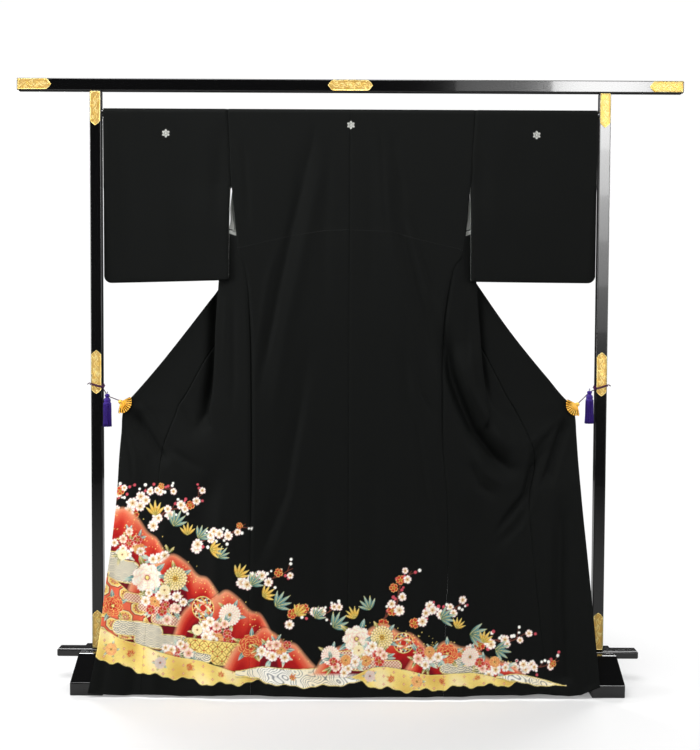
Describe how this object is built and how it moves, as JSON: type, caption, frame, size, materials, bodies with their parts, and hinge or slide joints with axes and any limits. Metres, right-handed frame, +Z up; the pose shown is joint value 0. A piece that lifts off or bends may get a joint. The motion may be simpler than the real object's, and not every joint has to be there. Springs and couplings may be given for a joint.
{
  "type": "kurotomesode, the formal black kimono, on a kimono stand",
  "caption": "Formal black silk kimono hung by its sleeves on a black lacquered stand, its back spread wide to show the painted hem, held open by clips with purple tassels.",
  "frame": {"origin": "on the floor, in the middle of the whole part's width and depth; the posts stand 14 mm behind it", "axes": "+Z up; +X along the top bar, to the right of a viewer who faces the kimono's back; that viewer stands on -Y"},
  "size_m": [1.842, 0.3382, 1.6808],
  "materials": {
    "black_silk": "matt crepe silk, painted and embroidered along the hem",
    "white_silk": "plain white silk lining",
    "black_lacquer": "black gloss lacquer on wood",
    "gilt_fitting": "gilt, engraved",
    "purple_silk": "twisted silk cord and strands"
  },
  "bodies": {
    "root": {"back_left": "black_silk", "back_right": "black_silk", "base_rail": "black_lacquer", "clip_left": "gilt_fitting", "clip_right": "gilt_fitting", "collar_left": "black_silk", "collar_neck": "black_silk", "collar_right": "black_silk", "cord_left": "purple_silk", "cord_right": "purple_silk", "foot_left": "black_lacquer", "foot_right": "black_lacquer", "front_left": "black_silk", "front_right": "black_silk", "hanging_rod": "black_lacquer", "lining_left": "white_silk", "lining_right": "white_silk", "okumi_left": "black_silk", "okumi_right": "black_silk", "plate_bar_left": "gilt_fitting", "plate_bar_left_rear": "gilt_fitting", "plate_bar_middle": "gilt_fitting", "plate_bar_middle_rear": "gilt_fitting", "plate_bar_right": "gilt_fitting", "plate_bar_right_rear": "gilt_fitting", "plate_left_foot": "gilt_fitting", "plate_left_foot_rear": "gilt_fitting", "plate_left_middle": "gilt_fitting", "plate_left_middle_rear": "gilt_fitting", "plate_left_top": "gilt_fitting", "plate_left_top_rear": "gilt_fitting", "plate_right_foot": "gilt_fitting", "plate_right_foot_rear": "gilt_fitting", "plate_right_middle": "gilt_fitting", "plate_right_middle_rear": "gilt_fitting", "plate_right_top": "gilt_fitting", "plate_right_top_rear": "gilt_fitting", "post_left": "black_lacquer", "post_right": "black_lacquer", "sleeve_left": "black_silk", "sleeve_right": "black_silk", "tassel_left": "purple_silk", "tassel_right": "purple_silk", "top_bar": "black_lacquer"}
  },
  "joints": []
}
